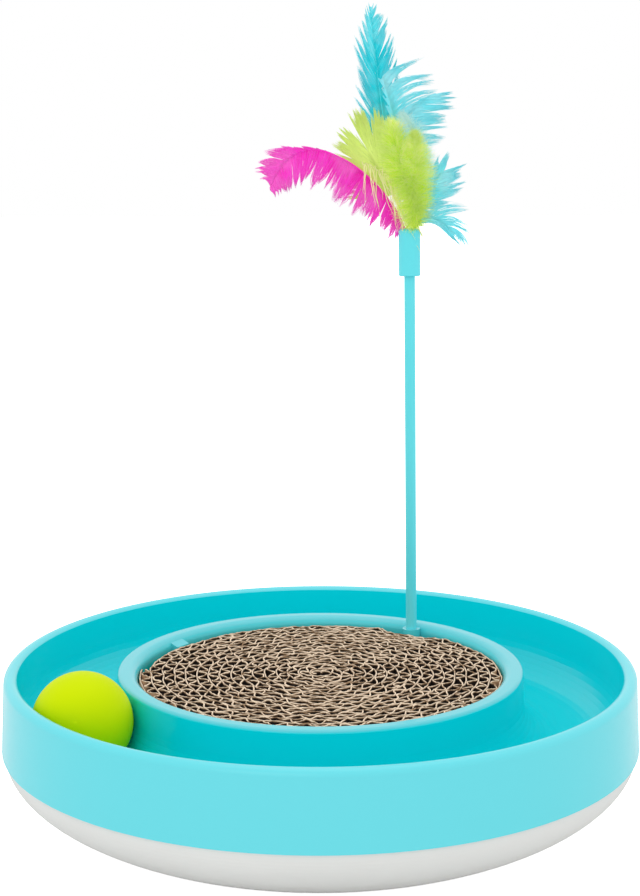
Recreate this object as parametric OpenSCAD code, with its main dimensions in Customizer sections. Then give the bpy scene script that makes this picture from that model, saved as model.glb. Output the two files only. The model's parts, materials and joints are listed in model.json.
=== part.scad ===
// Cat ball track toy: a round tray with a ball in its track, a scratch pad and a feather wand
// Millimetres, +Z up; the origin is on the floor under the middle of the tray, the front is at -Y

/* [Scratch pad] */
// Radius of the scratch pad
pad_r = 71.2; // [62:0.2:84]
// Thickness of the scratch pad
pad_t = 22; // [15:0.5:23]
// Gap between the edge of the pad and its well
pad_gap = 0.6; // [0.4:0.1:1.2]
// Depth of the top of the pad under the top of the ring
pad_drop = 2.9; // [2.5:0.1:6]
// Distance from one turn of the board to the next
board_t = 4.45; // [4:0.05:5.5]
// Length of one full flute of the board
flute_pitch = 7.8; // [6.5:0.1:10]
// Thickness of the board's papers
paper_t = 0.4; // [0.3:0.05:0.5]
// Free space between the crest of a flute and the paper that it nearly touches
glue_gap = 0.1; // [0.08:0.02:0.2]

/* [Ball] */
// Diameter of the ball
ball_d = 37.6; // [35:0.2:44]
// Wall of the hollow ball
ball_wall = 1.6; // [1.2:0.1:2.4]
// Gap between the ball and each side of the track
ball_play = 0.3; // [0.25:0.05:1]
// Place of the ball round the track, in degrees from +X
ball_az = -153; // [-180:1:-120]

/* [Tray] */
// Width of the ring between the well and the ball track
ring_w = 7.8; // [7.4:0.2:12]
// Height of the ring above the floor of the track
ring_h = 27.2; // [26.8:0.2:32]
// Height of the outer rim above the floor of the track
rim_h = 28.7; // [26:0.1:34]
// Width of the outer rim
rim_w = 5; // [5:0.1:8]
// Distance that the skirt flares out between the rim and the base
skirt_flare = 1.5; // [0.5:0.1:3]
// Wall of the tray
wall = 2.2; // [1.8:0.1:2.3]
// Slope of the walls of the track, in degrees
track_draft = 1; // [0.5:0.25:2]
// Difference between the ball's radius and the fillets along the floor of the track
fillet_less = 2.8; // [2:0.2:8]
// Radius that rounds the ring towards the well
well_round = 3.6; // [2.4:0.2:4]
// Radius that rounds the ring towards the track
ring_edge = 1.5; // [1:0.1:1.8]
// Width of the tab that steadies the pad
tab_w = 7.6; // [4:0.2:9]
// Reach of the tab in from the wall of the well
tab_reach = 3.2; // [2:0.2:3.6]
// Thickness of the tab at its front
tab_t = 1.8; // [1.4:0.1:2.4]

/* [Base] */
// Height of the bowl of the base
bowl_h = 27.3; // [24:0.5:32]
// Half width of the ellipse that the side of the bowl follows
bowl_run = 163.6; // [140:2:190]
// Half height of the ellipse that the side of the bowl follows
bowl_drop = 46; // [42:1:60]
// Distance from the skirt in to the edge of the bowl
bowl_step = 0.9; // [0.4:0.1:1.4]
// Wall of the base
base_wall = 2.4; // [2:0.1:3]
// Height of the lip that reaches up into the skirt
lip_h = 4; // [3:0.5:6]
// Thickness of the lip
lip_t = 1.4; // [1:0.1:1.8]
// Clearance between the lip and the skirt
lip_gap = 0.2; // [0.1:0.05:0.4]
// Radius of each rubber foot
foot_r = 9; // [7:0.5:11]
// Thickness of each rubber foot
foot_t = 2.8; // [2:0.2:4]
// Distance that the feet stand out under the base
foot_proud = 1.2; // [0.8:0.1:1.8]
// Radius of the circle of the feet
foot_ring_r = 76; // [72:1:78]

/* [Screws] */
// Radius of the circle of the screws
screw_ring_r = 50; // [44:1:54]
// Radius of a screw's shank
screw_r = 1.5; // [1.3:0.1:1.7]
// Radius of a screw's head
screw_head_r = 2.9; // [2.6:0.1:3.2]
// Height of a screw's head
screw_head_h = 1.8; // [1.5:0.1:2.4]
// Length of a screw under its head
screw_l = 12; // [9:0.5:13]

/* [Wand] */
// Place of the wand's socket round the well, in degrees from +X
wand_az = 56.1; // [50:0.5:62]
// Distance from the well's wall in to the middle of the socket
socket_in = 2.1; // [1.6:0.1:2.6]
// Depth of the socket
socket_depth = 20; // [14:0.5:20]
// Wall of the socket
socket_wall = 1.4; // [1.2:0.1:1.8]
// Depth of the socket's mouth under the top of the ring
socket_drop = 1.2; // [1:0.1:2]
// Clearance round the rod in its socket
socket_gap = 0.1; // [0.08:0.01:0.15]
// Lean of the wand towards -X, in degrees
wand_lean = 0.6; // [0:0.1:2]
// Diameter of the rod
rod_d = 4.5; // [3.6:0.1:5]
// Length of the rod between its socket and the ferrule
rod_free_l = 150; // [120:2:190]
// Diameter of the ferrule
ferrule_d = 9; // [8.6:0.1:11]
// Length of the ferrule
ferrule_l = 19.5; // [17:0.5:24]
// Wall of the ferrule round the glue that holds the quills
ferrule_wall = 1.6; // [1.4:0.1:2]
// Radius of the quills
quill_r = 0.42; // [0.35:0.01:0.45]

/* [Feathers] */
// Height of the tallest feather above the ferrule
plume_h = 90; // [84:1:104]
// Thickness of a feather's vane
vane_t = 0.5; // [0.4:0.05:0.6]
// Barb tufts drawn along each side of a vane
barb_count = 11; // [7:1:14]

/* [Hidden] */
$fn = 96;

aqua = [0.36, 0.84, 0.88];
bone = [0.86, 0.86, 0.85];
lime = [0.72, 0.86, 0.06];
kraft = [0.74, 0.6, 0.42];
kraft_dark = [0.56, 0.42, 0.27];
cyan = [0.18, 0.78, 0.86];
pale_lime = [0.78, 0.88, 0.4];
magenta = [0.93, 0.16, 0.72];
steel = [0.7, 0.7, 0.72];
rubber = [0.25, 0.25, 0.26];
amber = [0.85, 0.75, 0.5];

// Steps of each drawn arc, and one overrun for every cut
arc_steps = 10;
cut = 1;

// Heights, from the floor up
border_z = foot_proud + bowl_h;
track_z = border_z;
ring_z = track_z + ring_h;
rim_z = track_z + rim_h;
pad_seat = 0.2;
pad_z = ring_z - pad_drop - pad_t;
well_z = pad_z - pad_seat;
ball_z = track_z + ball_play + ball_d / 2;

// Radii, from the pad outwards
well_r = pad_r + pad_gap;
ring_r = well_r + ring_w;
track_in_r = ring_r + (ring_z - ball_z) * tan(track_draft);
track_out_r = track_in_r + ball_d + 2 * ball_play;
track_fillet = ball_d / 2 - fillet_less;
orbit_r = (track_in_r + track_out_r) / 2;
rim_in_r = track_out_r + (rim_z - ball_z) * tan(track_draft);
rim_r = rim_in_r + rim_w;
skirt_r = rim_r + skirt_flare;
skirt_draft = atan(skirt_flare / rim_h);
crown_share = 0.56;
rim_round = crown_share * rim_w;

// The three sloping walls that a ball sees, as radius at a height
function track_in(z) = track_in_r - (z - ball_z) * tan(track_draft);
function track_out(z) = track_out_r + (z - ball_z) * tan(track_draft);
function skirt(z) = skirt_r - (z - border_z) * tan(skirt_draft);

function arc(c, r, a, b, steps = arc_steps) = r > 0 ?
    [for (i = [0:steps]) let (w = a + (b - a) * i / steps) c + r * [cos(w), sin(w)]] : [c];

// The rim's top is one arc from the skirt over to a crisp edge above the track
function crown(deep) = let (
        edge_z = rim_z - rim_round,
        middle = skirt(edge_z) - rim_round / cos(skirt_draft),
        end = acos((track_out(rim_z) + deep - middle) / (rim_round - deep)))
    arc([middle, edge_z], rim_round - deep, skirt_draft, end, 2 * arc_steps);

// The tray's section, seen on the skin that lies deep under its upper face
function tray_path(deep) = let (
        lane_z = track_z + track_fillet,
        edge = max(ring_edge, deep))
    concat(
        [[skirt(border_z) - deep / cos(skirt_draft), border_z]],
        crown(deep),
        arc([track_out(lane_z) - track_fillet / cos(track_draft), lane_z], track_fillet + deep,
            -track_draft, -90),
        arc([track_in(lane_z) + track_fillet / cos(track_draft), lane_z], track_fillet + deep,
            -90, track_draft - 180),
        arc([track_in(ring_z - edge) - edge / cos(track_draft), ring_z - edge], edge - deep,
            track_draft, 90),
        arc([well_r + well_round, ring_z - well_round], well_round - deep, 90, 180),
        [[well_r + deep, well_z - deep], [0, well_z - deep]]);

function reversed(list) = [for (i = [len(list) - 1:-1:0]) list[i]];

// Socket and tab stand a quarter turn apart round the well
socket_r = rod_d / 2 + socket_gap + socket_wall;
socket_x = (well_r - socket_in) * cos(wand_az);
socket_y = (well_r - socket_in) * sin(wand_az);
socket_z = ring_z - socket_drop;
tab_az = wand_az + 90;
tab_slope = 20;

// Screw towers: the base's sleeve and the tray's boss meet over the counterbore
screw_azs = [45, 135, 225, 315];
foot_azs = [0, 90, 180, 270];
sleeve_r = screw_head_r + base_wall;
seat_z = foot_proud + bowl_h / 4;
sleeve_z = seat_z + base_wall;
boss_r = screw_r + wall;
boss_gap = 0.1;
thread_gap = 0.05;
hole_gap = 0.2;
pilot_over = 2;

module at_socket() {
    translate([socket_x, socket_y, socket_z]) rotate([0, -wand_lean, 0]) children();
}

module round_azs(azs, r) {
    for (a = azs) rotate([0, 0, a]) translate([r, 0, 0]) children();
}

rib_count = 8;
rib_share = 0.75;
rib_t = rib_share * wall;
rib_h = 6;

// The tab's top slopes down from the ring to the top of the pad
module tab() {
    front_z = ring_z - pad_drop;
    run = tab_reach + wall / 2;
    rotate([0, 0, tab_az]) translate([well_r - tab_reach, tab_w / 2, front_z]) rotate([90, 0, 0])
        linear_extrude(height = tab_w)
            polygon([[0, -tab_t], [run, -tab_t], [run, run * tan(tab_slope)], [0, 0]]);
}

module track_tray() {
    color(aqua) difference() {
        union() {
            rotate_extrude($fn = 180) polygon(concat(tray_path(0), reversed(tray_path(wall))));
            // Socket tube, sunk in the wall of the well
            intersection() {
                at_socket() translate([0, 0, -socket_depth - wall])
                    cylinder(r = socket_r, h = socket_depth + wall);
                translate([0, 0, well_z - wall / 2]) cylinder(r = well_r + wall + well_round,
                    h = ring_h);
            }
            tab();
            round_azs(screw_azs, screw_ring_r) translate([0, 0, sleeve_z + boss_gap])
                cylinder(r = boss_r, h = well_z - wall / 2 - sleeve_z - boss_gap);
            // Ribs under the floor of the well
            for (i = [0:rib_count - 1]) rotate([0, 0, (i + 1 / 4) * 360 / rib_count])
                translate([boss_r, -rib_t / 2, well_z - wall - rib_h])
                    cube([well_r - 2 * boss_r, rib_t, rib_h + wall / 2]);
        }
        at_socket() translate([0, 0, -socket_depth])
            cylinder(r = rod_d / 2 + socket_gap, h = socket_depth + cut);
        round_azs(screw_azs, screw_ring_r) translate([0, 0, sleeve_z])
            cylinder(r = screw_r + thread_gap, h = screw_l - base_wall + pilot_over);
    }
}

// The bowl's side is part of an ellipse that starts upright at the border
bowl_r = skirt_r - bowl_step;
function bowl_path(deep) = let (end = asin((bowl_h - deep) / (bowl_drop - deep)))
    [for (i = [0:2 * arc_steps]) let (w = end * i / (2 * arc_steps))
        [bowl_r - deep - (bowl_run - deep) * (1 - cos(w)), border_z - (bowl_drop - deep) * sin(w)]];

lip_r = skirt_r - wall / cos(skirt_draft) - lip_gap - lip_h * tan(skirt_draft);
foot_pocket = foot_t - foot_proud;
foot_gap = 0.1;

module base_bowl() {
    color(bone) difference() {
        union() {
            rotate_extrude($fn = 180) polygon(concat(
                [[lip_r - lip_t, border_z], [lip_r - lip_t, border_z + lip_h],
                 [lip_r, border_z + lip_h], [lip_r, border_z]],
                bowl_path(0), [[0, foot_proud], [0, foot_proud + base_wall]],
                reversed(bowl_path(base_wall))));
            round_azs(screw_azs, screw_ring_r) translate([0, 0, foot_proud])
                cylinder(r = sleeve_r, h = sleeve_z - foot_proud);
            round_azs(foot_azs, foot_ring_r) translate([0, 0, foot_proud])
                cylinder(r = foot_r + base_wall, h = foot_pocket + base_wall);
        }
        round_azs(screw_azs, screw_ring_r) {
            translate([0, 0, foot_proud - cut])
                cylinder(r = screw_head_r + hole_gap, h = seat_z - foot_proud + cut);
            translate([0, 0, foot_proud])
                cylinder(r = screw_r + hole_gap, h = sleeve_z);
        }
        round_azs(foot_azs, foot_ring_r) translate([0, 0, foot_proud - cut])
            cylinder(r = foot_r + foot_gap, h = foot_pocket + cut);
    }
}

drive_share = 0.45;
drive_r = drive_share * screw_head_r;

module base_screws() {
    color(steel) round_azs(screw_azs, screw_ring_r) translate([0, 0, seat_z]) difference() {
        union() {
            translate([0, 0, -screw_head_h]) cylinder(r = screw_head_r, h = screw_head_h);
            cylinder(r = screw_r, h = screw_l);
        }
        translate([0, 0, -screw_head_h - cut]) cylinder(r = drive_r, h = cut + screw_head_h / 2,
            $fn = 6);
    }
}

module rubber_feet() {
    color(rubber) round_azs(foot_azs, foot_ring_r) cylinder(r = foot_r, h = foot_t);
}

// The two ball halves meet on a circle that faces the front, and lap inside
ball_pitch = 71;
ball_lap = 1.6;
lap_gap = 0.05;

module ball_section(from, to) {
    intersection() {
        difference() {
            circle(r = to);
            circle(r = from);
        }
        translate([0, -ball_d]) square([ball_d, ball_d * 2]);
    }
}

module upper_part(z) {
    intersection() {
        children();
        translate([0, z]) square([ball_d, ball_d]);
    }
}

module lower_part(z) {
    intersection() {
        children();
        translate([0, z - ball_d]) square([ball_d, ball_d]);
    }
}

module at_ball() {
    rotate([0, 0, ball_az]) translate([orbit_r, 0, ball_z]) rotate([0, 0, -ball_az])
        rotate([ball_pitch, 0, 0]) children();
}

module ball_front_half() {
    color(lime) at_ball() rotate_extrude() union() {
        upper_part(lap_gap) ball_section(ball_d / 2 - ball_wall / 2, ball_d / 2);
        upper_part(ball_lap + lap_gap) ball_section(ball_d / 2 - ball_wall, ball_d / 2);
    }
}

module ball_back_half() {
    color(lime) at_ball() rotate_extrude() union() {
        lower_part(0) ball_section(ball_d / 2 - ball_wall, ball_d / 2);
        lower_part(ball_lap) ball_section(ball_d / 2 - ball_wall,
            ball_d / 2 - ball_wall / 2 - lap_gap);
    }
}

// The board is one long strip wound outwards: turn u lies at radius board_t * u. Its flat paper
// closes the outside, and the winding stands off centre so that the pad touches no wall
core_turn = 0.7;
strip_end_az = 176;
wind_x = board_t / 4;
last_turn = (pad_r + wind_x - paper_t / 2) / board_t;
wave_share = 0.78;
strip_t = paper_t / wave_share;
wave = (board_t - paper_t - strip_t) / 2 - glue_gap;
sag_share = 0.6;
liner_sag = sag_share * glue_gap;
flute_start = PI * board_t * pow(core_turn + 0.5, 2);
flute_steps = floor((PI * board_t * pow(last_turn - 0.5, 2) - flute_start) / (flute_pitch / 2));

function turn_at(length) = sqrt(length / (PI * board_t));
function spiral_point(u, out) = let (az = strip_end_az + 360 * (last_turn - u))
    [wind_x, 0] + (board_t * u + out) * [cos(az), sin(az)];

// Turns at which the liner has a corner, with the largest step on the small inner turns
step_most = 0.06;
liner_turns = [for (u = core_turn; u < last_turn;
    u = u + min(sqrt(8 * liner_sag / (board_t * max(u, core_turn))) / 2 / PI, step_most)) u];
flute_turns = [for (k = [0:flute_steps]) turn_at(flute_start + k * flute_pitch / 2) - 0.5];

module socket_notch() {
    translate([socket_x, socket_y, pad_z - cut])
        cylinder(r = socket_r + pad_gap, h = pad_t + 2 * cut);
}

module pad_liner() {
    color(kraft) difference() {
        translate([0, 0, pad_z]) linear_extrude(height = pad_t) polygon(concat(
            [for (u = liner_turns) spiral_point(u, -paper_t / 2)],
            [for (u = reversed(liner_turns)) spiral_point(u, paper_t / 2)]));
        socket_notch();
    }
}

module pad_fluting() {
    color(kraft_dark) difference() {
        translate([0, 0, pad_z]) linear_extrude(height = pad_t) polygon(concat(
            [for (k = [0:flute_steps]) spiral_point(flute_turns[k],
                board_t / 2 - strip_t / 2 + (k % 2 == 0 ? wave : -wave))],
            [for (k = [flute_steps:-1:0]) spiral_point(flute_turns[k],
                board_t / 2 + strip_t / 2 + (k % 2 == 0 ? wave : -wave))]));
        socket_notch();
    }
}

// Along the wand, heights are taken from the mouth of the socket
rod_sunk = ferrule_l / 2;
rod_end_gap = 0.3;
bore_gap = 0.05;
ferrule_round = ferrule_d / 6;
plug_l = ferrule_l / 3;
plug_r = ferrule_d / 2 - ferrule_wall;
wand_top = rod_free_l + ferrule_l;

module wand_rod() {
    color(aqua) at_socket() translate([0, 0, rod_end_gap - socket_depth])
        cylinder(r = rod_d / 2, h = socket_depth - rod_end_gap + rod_free_l + rod_sunk);
}

module wand_ferrule() {
    color(aqua) at_socket() translate([0, 0, rod_free_l]) difference() {
        rotate_extrude() polygon(concat([[0, 0]],
            arc([ferrule_d / 2 - ferrule_round / 3, ferrule_round / 3], ferrule_round / 3, -90, 0),
            arc([ferrule_d / 2 - ferrule_round, ferrule_l - ferrule_round], ferrule_round, 0, 90),
            [[0, ferrule_l]]));
        translate([0, 0, -cut]) cylinder(r = rod_d / 2 + bore_gap, h = rod_sunk + cut + bore_gap);
        translate([0, 0, ferrule_l - plug_l]) cylinder(r = plug_r, h = plug_l + cut);
    }
}

// One row for each feather: where its quill stands in the plug as shares of the plug's radius,
// its turn and backward lean, the shares of plume_h of its curve's three points, the shares
// that its vane reaches to the left and to the right of the curve, and where the vane starts
tall_shares = [[-0.2, 0.72], [0, -5], [[0, 0], [-0.13, 0.47], [-0.155, 1]], [0.15, 0.12], 0.36];
curl_shares = [[0.12, 0.34], [0, 0], [[0, 0], [-0.1, 0.5], [0.1, 0.74]], [0.06, 0.1], 0.42];
middle_shares = [[0.5, 0.6], [20, 0], [[0, 0], [0.06, 0.36], [0.19, 0.6]], [0.08, 0.14], 0.3];
right_shares = [[0.7, 0.04], [-10, 0], [[0, 0], [0.07, 0.19], [0.26, 0.35]], [0.1, 0.12], 0.3];
low_shares = [[0.55, -0.26], [-20, 0], [[0, 0], [0.09, 0.07], [0.28, 0.08]], [0.05, 0.07], 0.35];
vane_shares = [[-0.3, -0.5], [-3, 0], [[0, 0], [-0.07, 0.33], [-0.34, 0.48]], [0.15, 0.17], 0.3];
magenta_shares = [[-0.66, -0.24], [-8, 0], [[0, 0], [-0.24, 0.44], [-0.71, 0.33]], [0.17, 0.08],
    0.12];
down_seat_shares = [0.3, -0.76];
feather_rows = [tall_shares, curl_shares, middle_shares, right_shares, low_shares, vane_shares,
    magenta_shares];

module quill_plug() {
    color(amber) at_socket() translate([0, 0, wand_top - plug_l]) difference() {
        cylinder(r = plug_r - bore_gap, h = plug_l - ferrule_round / 3);
        for (row = feather_rows) quill_hole(row[0]);
        quill_hole(down_seat_shares);
    }
}

quill_share = 0.8;
quill_l = quill_share * plug_l;

module quill_hole(seat) {
    translate([seat[0] * plug_r, seat[1] * plug_r, plug_l - quill_l - bore_gap])
        cylinder(r = quill_r + bore_gap, h = plug_l, $fn = 24);
}

function bend(p, t) = (1 - t) * (1 - t) * p[0] + 2 * t * (1 - t) * p[1] + t * t * p[2];
function along(p, t) = let (d = (1 - t) * (p[1] - p[0]) + t * (p[2] - p[1])) d / norm(d);
function across(p, t) = let (d = along(p, t)) [-d[1], d[0]];

// A vane swells from its start and closes at its tip, and every second point is a notch
notch_share = 0.55;
barb_sweep_share = 0.7;
function swell(s) = pow(sin(180 * pow(min(s, 1), 0.7)), 0.7);
function barb_side(path, reach, start) = [for (i = [0:2 * barb_count]) let (
        s = (i + 0.5) / (2 * barb_count + 1),
        t = start + (1 - start) * s,
        r = reach * swell(s) * (i % 2 == 0 ? notch_share : 1))
    bend(path, t) * plume_h + plume_h * (across(path, t) * r
        + along(path, t) * abs(r) * barb_sweep_share)];

module feather(row, colour) {
    path = row[2];
    start = row[4];
    rachis_end = 0.9;
    rachis_steps = 2 * arc_steps;
    color(colour) at_socket() translate([row[0][0] * plug_r, row[0][1] * plug_r, wand_top]) {
        translate([0, 0, -quill_l]) cylinder(r = quill_r, h = quill_l, $fn = 24);
        rotate([row[1][1], 0, row[1][0]]) rotate([90, 0, 0]) {
            linear_extrude(height = vane_t, center = true) polygon(concat(
                [bend(path, start) * plume_h],
                barb_side(path, row[3][0], start),
                [bend(path, 1) * plume_h],
                reversed(barb_side(path, -row[3][1], start))));
            linear_extrude(height = 2 * quill_r, center = true) polygon(concat(
                [for (i = [0:rachis_steps]) let (t = rachis_end * i / rachis_steps)
                    bend(path, t) * plume_h + across(path, t) * quill_r * (1 - t / 2)],
                [for (i = [rachis_steps:-1:0]) let (t = rachis_end * i / rachis_steps)
                    bend(path, t) * plume_h - across(path, t) * quill_r * (1 - t / 2)]));
        }
    }
}

module feather_cyan_tall() { feather(tall_shares, cyan); }
module feather_cyan_curl() { feather(curl_shares, cyan); }
module feather_cyan_middle() { feather(middle_shares, cyan); }
module feather_cyan_right() { feather(right_shares, cyan); }
module feather_cyan_low() { feather(low_shares, cyan); }
module feather_lime_vane() { feather(vane_shares, pale_lime); }
module feather_magenta() { feather(magenta_shares, magenta); }

// The down is a tapered tuft in front of the vanes, with a flat back
down_size_shares = [0.11, 0.47];
down_r = down_size_shares[0] * plume_h;
down_h = down_size_shares[1] * plume_h;
down_lean = 8;
down_nod = 3;
down_back = quill_r / 4;
down_path_shares = [[0, 0], [0.25, 0.02], [0.55, 0.14], [0.8, 0.35], [0.98, 0.58], [0.96, 0.76],
    [0.7, 0.93], [0.35, 0.99], [0, 1]];

module feather_lime_down() {
    color(lime) at_socket()
        translate([down_seat_shares[0] * plug_r, down_seat_shares[1] * plug_r, wand_top]) {
            translate([0, 0, -quill_l]) cylinder(r = quill_r, h = quill_l + down_h / 8, $fn = 24);
            difference() {
                rotate([down_nod, -down_lean, 0]) rotate_extrude($fn = 48)
                    polygon([for (p = down_path_shares) [p[0] * down_r, p[1] * down_h]]);
                translate([-plume_h, -down_back, -plume_h]) cube(2 * plume_h);
            }
        }
}

track_tray();
base_bowl();
base_screws();
rubber_feet();
ball_front_half();
ball_back_half();
pad_liner();
pad_fluting();
wand_rod();
wand_ferrule();
quill_plug();
feather_cyan_tall();
feather_cyan_curl();
feather_cyan_middle();
feather_cyan_right();
feather_cyan_low();
feather_lime_vane();
feather_lime_down();
feather_magenta();
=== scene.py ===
import json
import math

import bpy
from mathutils import Matrix, Vector


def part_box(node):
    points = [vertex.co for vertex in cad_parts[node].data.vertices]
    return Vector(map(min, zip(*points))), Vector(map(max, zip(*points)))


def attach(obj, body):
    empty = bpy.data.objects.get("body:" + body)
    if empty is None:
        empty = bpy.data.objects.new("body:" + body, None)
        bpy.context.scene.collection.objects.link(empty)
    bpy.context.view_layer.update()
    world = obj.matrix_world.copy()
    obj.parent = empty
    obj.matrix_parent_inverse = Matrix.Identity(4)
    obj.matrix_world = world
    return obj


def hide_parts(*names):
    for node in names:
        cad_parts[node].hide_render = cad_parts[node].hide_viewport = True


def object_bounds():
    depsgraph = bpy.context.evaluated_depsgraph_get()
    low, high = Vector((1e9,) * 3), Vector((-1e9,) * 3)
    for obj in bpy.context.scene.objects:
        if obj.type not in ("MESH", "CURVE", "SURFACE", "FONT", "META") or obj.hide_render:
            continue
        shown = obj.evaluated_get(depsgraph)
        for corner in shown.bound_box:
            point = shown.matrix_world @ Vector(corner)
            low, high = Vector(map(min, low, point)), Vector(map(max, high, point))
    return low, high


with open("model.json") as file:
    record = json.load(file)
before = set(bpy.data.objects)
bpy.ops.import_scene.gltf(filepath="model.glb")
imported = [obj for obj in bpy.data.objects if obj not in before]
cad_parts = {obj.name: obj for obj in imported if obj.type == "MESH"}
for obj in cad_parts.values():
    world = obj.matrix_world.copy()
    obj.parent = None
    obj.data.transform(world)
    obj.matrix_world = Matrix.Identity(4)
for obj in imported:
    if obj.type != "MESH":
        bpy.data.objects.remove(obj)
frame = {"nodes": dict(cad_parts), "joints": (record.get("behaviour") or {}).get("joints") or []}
cadLow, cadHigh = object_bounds()
nodes = frame["nodes"]
joints = {joint["name"]: joint for joint in frame["joints"]}
mm = 0.001


# Camera

photoCamera = {
    "pictureHigh": 896,    # pixels
    "focal": 1755,         # focal length in pixels
    "asideOfMiddle": 0.3,  # pixels from the picture's middle to the lens axis
    "fromAxis": 667.75,    # mm from the tray's axis to the camera
    "aboveFloor": 256.6,   # mm
    "lookDown": 9.70,      # degrees
    "roll": -0.17,         # degrees, which lift the right side of the picture
}


def makeCamera(values):
    camera = bpy.data.objects.new("camera", bpy.data.cameras.new("camera"))
    camera.data.lens = camera.data.sensor_width * values["focal"] / values["pictureHigh"]
    camera.data.shift_x = values["asideOfMiddle"] / values["pictureHigh"]
    camera.location = (0, -values["fromAxis"] * mm, values["aboveFloor"] * mm)
    turn = (Matrix.Rotation(math.radians(90 - values["lookDown"]), 3, "X")
            @ Matrix.Rotation(math.radians(values["roll"]), 3, "Z"))
    camera.rotation_euler = turn.to_euler()
    bpy.context.scene.collection.objects.link(camera)
    bpy.context.scene.camera = camera


makeCamera(photoCamera)
print("camera is set")


# Helpers for node trees

class Field:
    # A number somewhere in a node tree, which can be added, multiplied and so on
    mathNode = "ShaderNodeMath"

    def __init__(self, tree, socket):
        self.tree = tree
        self.socket = socket

    def calc(self, operation, *others):
        node = place(self.tree, self.mathNode, operation=operation)
        for socket, value in zip(node.inputs, (self, *others)):
            feed(self.tree, socket, value)
        return type(self)(self.tree, node.outputs[0])

    def __add__(self, other):
        return self.calc("ADD", other)

    def __mul__(self, other):
        return self.calc("MULTIPLY", other)

    def __sub__(self, other):
        return self.calc("SUBTRACT", other)

    def __rsub__(self, other):
        return (self * -1).calc("ADD", other)

    def __truediv__(self, other):
        return self.calc("DIVIDE", other)

    def __rtruediv__(self, other):
        return self.calc("POWER", -1) * other

    def __pow__(self, other):
        return self.calc("POWER", other)

    def mapped(self, low, high, newLow=0.0, newHigh=1.0, kind="LINEAR"):
        node = place(self.tree, "ShaderNodeMapRange", interpolation_type=kind)
        for socket, value in zip(node.inputs, (self, low, high, newLow, newHigh)):
            feed(self.tree, socket, value)
        return Field(self.tree, node.outputs[0])


class Arrow(Field):
    # A vector in a node tree
    mathNode = "ShaderNodeVectorMath"

    def __mul__(self, factor):
        node = place(self.tree, self.mathNode, {"Vector": self, "Scale": factor},
                     operation="SCALE")
        return Arrow(self.tree, node.outputs[0])

    def cross(self, other):
        return self.calc("CROSS_PRODUCT", other)

    def unit(self):
        return self.calc("NORMALIZE")

    def parts(self):
        node = place(self.tree, "ShaderNodeSeparateXYZ", {"Vector": self})
        return [Field(self.tree, socket) for socket in node.outputs]


def feed(tree, socket, value):
    if isinstance(value, Field):
        tree.links.new(value.socket, socket)
    elif isinstance(value, bpy.types.NodeSocket):
        tree.links.new(value, socket)
    else:
        socket.default_value = value


def place(tree, kind, inputs=None, **settings):
    # A node with its settings made first, because they decide which inputs are in use
    node = tree.nodes.new(kind)
    for name, value in settings.items():
        setattr(node, name, value)
    for name, value in (inputs or {}).items():
        feed(tree, live(node.inputs, name), value)
    return node


def live(sockets, name):
    # The socket of this name that the node's settings leave in use
    return next(socket for socket in sockets if socket.enabled and socket.name == name)


def arrowOf(tree, x, y, z):
    node = place(tree, "ShaderNodeCombineXYZ", {"X": x, "Y": y, "Z": z})
    return Arrow(tree, node.outputs[0])


def noiseAt(tree, spot, scale, detail):
    node = place(tree, "ShaderNodeTexNoise", {"Vector": spot, "Scale": scale, "Detail": detail})
    return Field(tree, node.outputs["Fac"])


def noiseAlong(tree, distance, detail):
    node = place(tree, "ShaderNodeTexNoise", {"W": distance, "Scale": 1.0, "Detail": detail},
                 noise_dimensions="1D")
    return Field(tree, node.outputs["Fac"])


def attributeOf(tree, name):
    node = place(tree, "ShaderNodeAttribute", attribute_name=name)
    return Field(tree, node.outputs["Fac"])


def remember(tree, geometry, name, value):
    # Each point of the geometry keeps the number under this name
    node = place(tree, "GeometryNodeStoreNamedAttribute", {
        "Geometry": geometry, "Name": name, "Value": value}, data_type="FLOAT", domain="POINT")
    return node.outputs[0]


def blend(tree, share, first, second):
    # The first colour where the share is 0, the second where it is 1
    node = place(tree, "ShaderNodeMix", {"Factor": share, "A": first, "B": second},
                 data_type="RGBA")
    return live(node.outputs, "Result")


def bumpOf(tree, height, depth):
    return place(tree, "ShaderNodeBump", {
        "Height": height, "Strength": 1.0, "Distance": depth}).outputs["Normal"]


def newTree(name, kind, sockets, results):
    tree = bpy.data.node_groups.new(name, kind)
    for label, (sort, value) in sockets.items():
        socket = tree.interface.new_socket(label, in_out="INPUT", socket_type="NodeSocket" + sort)
        if value is not None:
            socket.default_value = value
    for label, sort in results.items():
        tree.interface.new_socket(label, in_out="OUTPUT", socket_type="NodeSocket" + sort)
    source = tree.nodes.new("NodeGroupInput")
    given = {label: (Arrow if sort == "Vector" else Field)(tree, source.outputs[label])
             for label, (sort, value) in sockets.items()}
    return tree, given, tree.nodes.new("NodeGroupOutput")


def answer(tree, target, results):
    # What the finished tree puts out
    for name, value in results.items():
        feed(tree, target.inputs[name], value)
    return tree


def grow(name, tree, values):
    # Runs a geometry tree and keeps its result as a plain mesh
    holder = bpy.data.objects.new(name + "Source", bpy.data.meshes.new(name + "Source"))
    bpy.context.scene.collection.objects.link(holder)
    modifier = holder.modifiers.new("growth", "NODES")
    modifier.node_group = tree
    for item in tree.interface.items_tree:
        if item.in_out == "INPUT" and item.name in values:
            modifier[item.identifier] = values[item.name]
    graph = bpy.context.evaluated_depsgraph_get()
    mesh = bpy.data.meshes.new_from_object(holder.evaluated_get(graph), depsgraph=graph)
    holder.modifiers.remove(modifier)
    bpy.data.objects.remove(holder)
    mesh.name = name
    piece = bpy.data.objects.new(name, mesh)
    bpy.context.scene.collection.objects.link(piece)
    return piece


# Shared shader groups

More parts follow.
